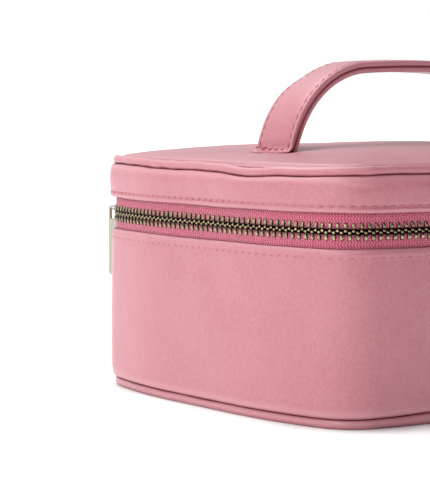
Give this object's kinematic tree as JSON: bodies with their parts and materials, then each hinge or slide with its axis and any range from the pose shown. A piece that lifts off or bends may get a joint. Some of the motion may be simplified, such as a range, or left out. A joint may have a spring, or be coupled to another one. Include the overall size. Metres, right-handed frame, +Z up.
{
  "type": "makeup train case",
  "caption": "Soft-cornered box case with a zipped, padded, back-hinged lid and a fixed strap handle on top, for carrying cosmetics.",
  "frame": {"origin": "centre of the flat base, on the surface that the case stands on", "axes": "+X along the long side, -Y the front, +Y the back where the lid hinges, +Z up"},
  "size_m": [0.2436, 0.1946, 0.1533],
  "materials": {
    "leather": "smooth dusty-pink faux leather, satin, fine grain",
    "zip_tape": "woven raspberry zip tape",
    "antique_brass": "antique brass with dark recesses",
    "pewter": "warm grey satin metal",
    "lining": "plain woven blush lining",
    "board": "matt pressed fibre board",
    "foam": "open foam"
  },
  "bodies": {
    "case": {"body_outer_wall": "leather", "body_wall_board": "board", "body_lining": "lining", "base_welt": "leather", "base_panel": "leather", "base_board": "board", "base_lining": "lining", "lower_zip_tape": "zip_tape", "lower_zip_teeth": "antique_brass", "lower_end_stop": "antique_brass", "far_end_stop": "antique_brass", "back_hinge_strip": "leather"},
    "lid": {"lid_band": "leather", "lid_band_board": "board", "lid_lining": "lining", "lid_top_lining": "lining", "lid_top_board": "board", "lid_welt": "leather", "lid_top_panel": "leather", "lid_top_pad": "foam", "upper_zip_tape": "zip_tape", "upper_zip_teeth": "antique_brass", "upper_end_stop": "antique_brass", "handle_outer_strap": "leather", "handle_inner_strap": "leather", "handle_core": "foam"},
    "slider": {"slider_body": "antique_brass", "slider_bridge": "pewter"},
    "pull": {"zip_pull": "pewter"}
  },
  "joints": [
    {"name": "lid_hinge", "type": "hinge", "parent": "case", "child": "lid", "pos_m": [0, 0.0941, 0.0818], "axis": [-1, 0, 0], "range_deg": [0, 105], "deforming": ["back_hinge_strip", "upper_zip_tape", "upper_zip_teeth"]},
    {"name": "slider_travel", "type": "hinge", "parent": "case", "child": "slider", "pos_m": [-0.09093, 0.06623, 0.0818], "axis": [0, 0, 1], "range_deg": [0, 50], "deforming": ["lower_zip_teeth"]},
    {"name": "pull_swing", "type": "hinge", "parent": "slider", "child": "pull", "pos_m": [-0.09948, 0.09368, 0.08255], "axis": [0.9548, 0.2974, 0], "range_deg": [-2, 170]}
  ]
}
